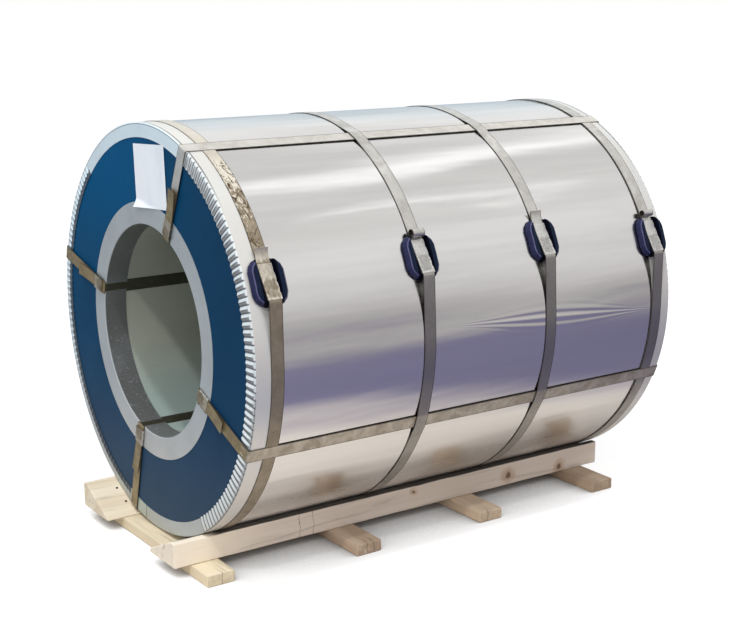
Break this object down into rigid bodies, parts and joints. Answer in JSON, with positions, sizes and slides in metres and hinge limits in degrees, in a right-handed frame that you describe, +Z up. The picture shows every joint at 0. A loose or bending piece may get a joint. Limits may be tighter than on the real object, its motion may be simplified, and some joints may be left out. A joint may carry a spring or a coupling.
{
  "type": "steel coil",
  "caption": "Wound steel coil lying eye-horizontal on a timber skid, sheet-wrapped with blue end discs, pleated edge rings, steel straps and strap pads.",
  "frame": {"origin": "floor level, under the middle of the skid and on the vertical plane of the coil's axis", "axes": "+X along the coil's axis away from the labelled end, +Y to the left bearer, +Z up"},
  "size_m": [1.2921, 0.972, 1.0035],
  "materials": {
    "coil_steel": "satin",
    "wrap_galvanised": "satin",
    "liner_sheet": "satin",
    "disc_blue": "satin",
    "ring_galvanised": "satin",
    "strap_steel": "satin",
    "strap_bronze": "satin",
    "pad_plastic": "satin",
    "seal_steel": "satin",
    "label_paper": "matte",
    "skid_wood": "matte"
  },
  "bodies": {
    "root": {"steel_coil": "coil_steel", "outer_wrap": "wrap_galvanised", "bore_liner": "liner_sheet", "end_disc_front": "disc_blue", "outer_edge_ring_front": "ring_galvanised", "inner_edge_ring_front": "ring_galvanised", "end_disc_back": "disc_blue", "outer_edge_ring_back": "ring_galvanised", "inner_edge_ring_back": "ring_galvanised", "girth_strap_1": "strap_bronze", "strap_pad_1": "pad_plastic", "girth_seal_1": "seal_steel", "eye_strap_1": "strap_bronze", "eye_seal_1": "seal_steel", "cross_board_1": "skid_wood", "girth_strap_2": "strap_steel", "strap_pad_2": "pad_plastic", "girth_seal_2": "seal_steel", "eye_strap_2": "strap_bronze", "eye_seal_2": "seal_steel", "cross_board_2": "skid_wood", "girth_strap_3": "strap_steel", "strap_pad_3": "pad_plastic", "girth_seal_3": "seal_steel", "eye_strap_3": "strap_bronze", "eye_seal_3": "seal_steel", "cross_board_3": "skid_wood", "girth_strap_4": "strap_steel", "strap_pad_4": "pad_plastic", "girth_seal_4": "seal_steel", "eye_strap_4": "strap_bronze", "eye_seal_4": "seal_steel", "cross_board_4": "skid_wood", "paper_label": "label_paper", "bearer_left": "skid_wood", "bearer_right": "skid_wood"}
  },
  "joints": []
}
